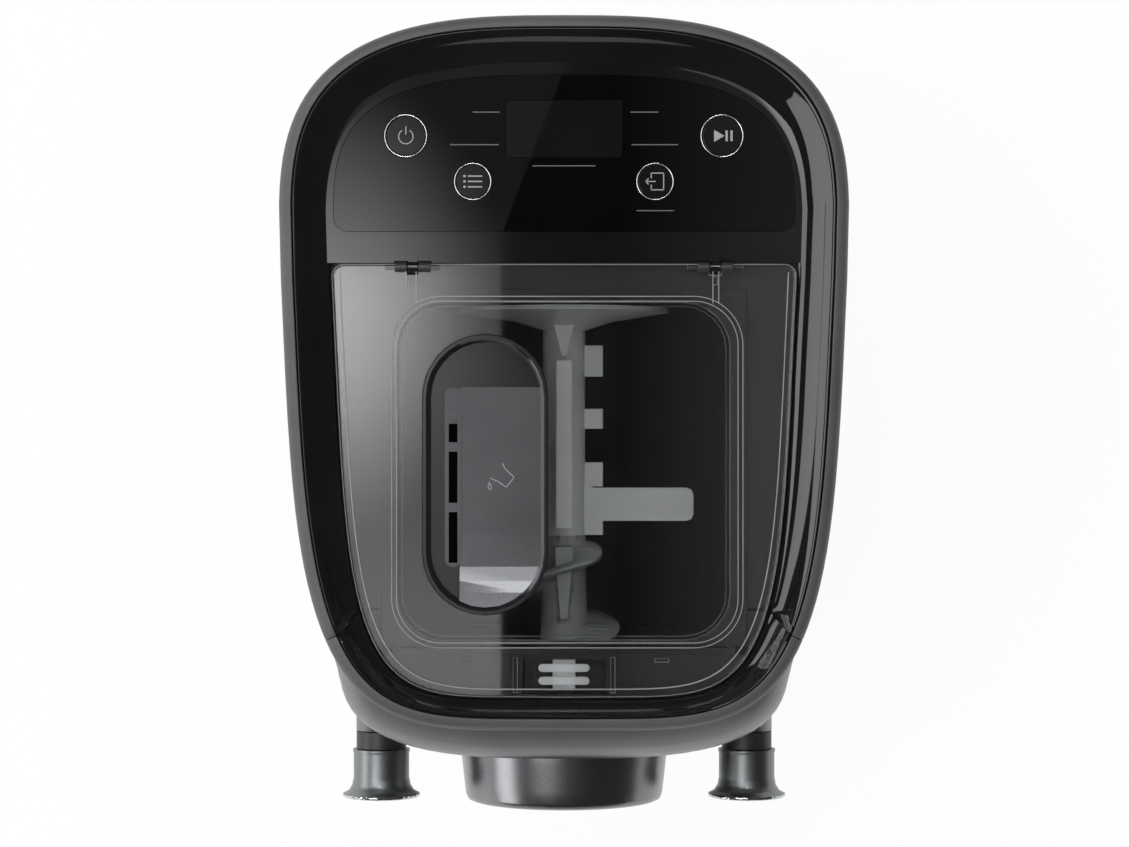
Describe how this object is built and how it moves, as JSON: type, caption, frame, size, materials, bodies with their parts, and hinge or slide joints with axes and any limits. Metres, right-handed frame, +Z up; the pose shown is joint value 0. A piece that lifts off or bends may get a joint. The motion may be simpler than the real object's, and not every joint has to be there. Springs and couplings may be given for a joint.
{
  "type": "electric pasta maker",
  "caption": "Table-top machine that kneads flour and water in a lidded chamber and presses pasta out of a front disc, with a touch panel and locking knobs.",
  "frame": {"origin": "on the table, under the middle of the machine's length and width", "axes": "+X the machine's right, -Y its front where the pasta comes out, +Z up"},
  "size_m": [0.2448, 0.3458, 0.295],
  "materials": {
    "shell_dark": "fine satin moulded",
    "black_plastic": "matt moulded",
    "rubber_black": "matt",
    "machined_metal": "milled",
    "steel": "plain",
    "brass": "turned",
    "gloss_black": "high gloss",
    "panel_gloss": "high gloss",
    "display_dark": "smoked window",
    "display_module": "satin",
    "chrome": "polished",
    "circuit_board": "solder mask",
    "cable_grey": "flexible",
    "switch_black": "moulded",
    "gearbox_plastic": "moulded",
    "motor_steel": "zinc plated",
    "magnet": "sintered",
    "chamber_plastic": "satin",
    "seal_red": "silicone",
    "clear_lid": "clear, smoky",
    "well_plastic": "gloss",
    "seal_grey": "silicone",
    "kneader_grey": "satin",
    "screw_grey": "satin",
    "gear_steel": "sintered",
    "gear_nylon": "moulded",
    "copper_winding": "lacquered",
    "fan_plastic": "moulded",
    "front_metallic": "satin metallic",
    "tube_plastic": "satin",
    "disc_cream": "moulded",
    "ring_gunmetal": "satin metallic",
    "knob_grey": "satin metallic",
    "button_gloss": "gloss"
  },
  "bodies": {
    "body": {"base_plate": "black_plastic", "feet": "rubber_black", "load_cells": "machined_metal", "screws": "steel", "housing": "shell_dark", "cord_gland": "rubber_black", "front_cover": "shell_dark", "chassis": "black_plastic", "knob_inserts": "brass", "lid_tray": "black_plastic", "top_deck": "gloss_black", "hinge_pins": "steel", "control_panel": "panel_gloss", "display_window": "display_dark", "lcd_module": "display_module", "button_rings": "chrome", "control_board": "circuit_board", "ribbon_cable": "cable_grey", "power_board": "circuit_board", "safety_switches": "switch_black", "gearbox_plate": "machined_metal", "gearbox_cover": "gearbox_plastic", "gear_axles": "steel", "bearings": "steel", "motor_case": "motor_steel", "motor_magnets": "magnet", "mixing_chamber": "chamber_plastic", "shaft_seal": "seal_red"},
    "lid": {"lid": "clear_lid", "pouring_well": "well_plastic", "lid_seal": "seal_grey"},
    "kneader": {"kneading_shaft": "kneader_grey", "auger_screw": "screw_grey", "output_shaft": "steel", "output_gear": "gear_steel"},
    "second_gear": {"second_gear": "gear_nylon"},
    "first_gear": {"first_gear": "gear_nylon"},
    "motor_rotor": {"motor_shaft": "steel", "motor_armature": "copper_winding", "motor_pinion": "steel", "motor_fan": "fan_plastic"},
    "front": {"front_panel": "front_metallic", "front_rim": "shell_dark", "front_bezel": "gloss_black", "latch_plate": "chrome", "chamber_door": "chamber_plastic", "door_seal": "seal_grey", "extruding_tube": "tube_plastic", "shaping_disc": "disc_cream"},
    "locking_ring": {"locking_ring": "ring_gunmetal"},
    "left_collar": {"left_collar": "black_plastic"},
    "left_knob": {"left_knob": "knob_grey", "left_stud": "steel"},
    "right_collar": {"right_collar": "black_plastic"},
    "right_knob": {"right_knob": "knob_grey", "right_stud": "steel"},
    "power_button": {"power_button": "button_gloss"},
    "menu_button": {"menu_button": "button_gloss"},
    "extrude_button": {"extrude_button": "button_gloss"},
    "play_button": {"play_button": "button_gloss"}
  },
  "joints": [
    {"name": "lid_hinge", "type": "hinge", "parent": "body", "child": "lid", "pos_m": [0, 0.06475, 0.2855], "axis": [-1, 0, 0], "range_deg": [0, 100]},
    {"name": "kneader_spin", "type": "hinge", "parent": "body", "child": "kneader", "pos_m": [0, 0, 0.211], "axis": [0, 1, 0], "continuous": true},
    {"name": "second_gear_spin", "type": "hinge", "parent": "body", "child": "second_gear", "pos_m": [0, 0.085, 0.1543], "axis": [0, 1, 0], "continuous": true},
    {"name": "first_gear_spin", "type": "hinge", "parent": "body", "child": "first_gear", "pos_m": [0, 0.07, 0.1123], "axis": [0, 1, 0], "continuous": true},
    {"name": "motor_spin", "type": "hinge", "parent": "body", "child": "motor_rotor", "pos_m": [0, 0.01, 0.0763], "axis": [0, 1, 0], "continuous": true},
    {"name": "front_pull", "type": "slide", "parent": "body", "child": "front", "axis": [0, -1, 0], "range_m": [0, 0.12]},
    {"name": "locking_ring_turn", "type": "hinge", "parent": "front", "child": "locking_ring", "pos_m": [0, -0.17295, 0.211], "axis": [0, -1, 0], "range_deg": [0, 90]},
    {"name": "left_knob_thread", "type": "slide", "parent": "front", "child": "left_collar", "axis": [0, -1, 0], "range_m": [0, 0.01]},
    {"name": "left_knob_turn", "type": "hinge", "parent": "left_collar", "child": "left_knob", "pos_m": [-0.0831, -0.17195, 0.211], "axis": [0, -1, 0], "range_deg": [0, 1800]},
    {"name": "right_knob_thread", "type": "slide", "parent": "front", "child": "right_collar", "axis": [0, -1, 0], "range_m": [0, 0.01]},
    {"name": "right_knob_turn", "type": "hinge", "parent": "right_collar", "child": "right_knob", "pos_m": [0.0831, -0.17195, 0.211], "axis": [0, -1, 0], "range_deg": [0, 1800]},
    {"name": "power_button_press", "type": "slide", "parent": "body", "child": "power_button", "axis": [0, 0, -1], "range_m": [0, 0.0008], "stiffness_N_per_m": 400},
    {"name": "menu_button_press", "type": "slide", "parent": "body", "child": "menu_button", "axis": [0, 0, -1], "range_m": [0, 0.0008], "stiffness_N_per_m": 400},
    {"name": "extrude_button_press", "type": "slide", "parent": "body", "child": "extrude_button", "axis": [0, 0, -1], "range_m": [0, 0.0008], "stiffness_N_per_m": 400},
    {"name": "play_button_press", "type": "slide", "parent": "body", "child": "play_button", "axis": [0, 0, -1], "range_m": [0, 0.0008], "stiffness_N_per_m": 400}
  ],
  "couplings": [
    {"joint": "second_gear_spin", "follows": "kneader_spin", "ratio": -2.8571},
    {"joint": "first_gear_spin", "follows": "kneader_spin", "ratio": 8.5714},
    {"joint": "motor_spin", "follows": "kneader_spin", "ratio": -25.714},
    {"joint": "left_knob_thread", "follows": "left_knob_turn", "m_per_rad": 0.00031831},
    {"joint": "right_knob_thread", "follows": "right_knob_turn", "m_per_rad": 0.00031831}
  ]
}
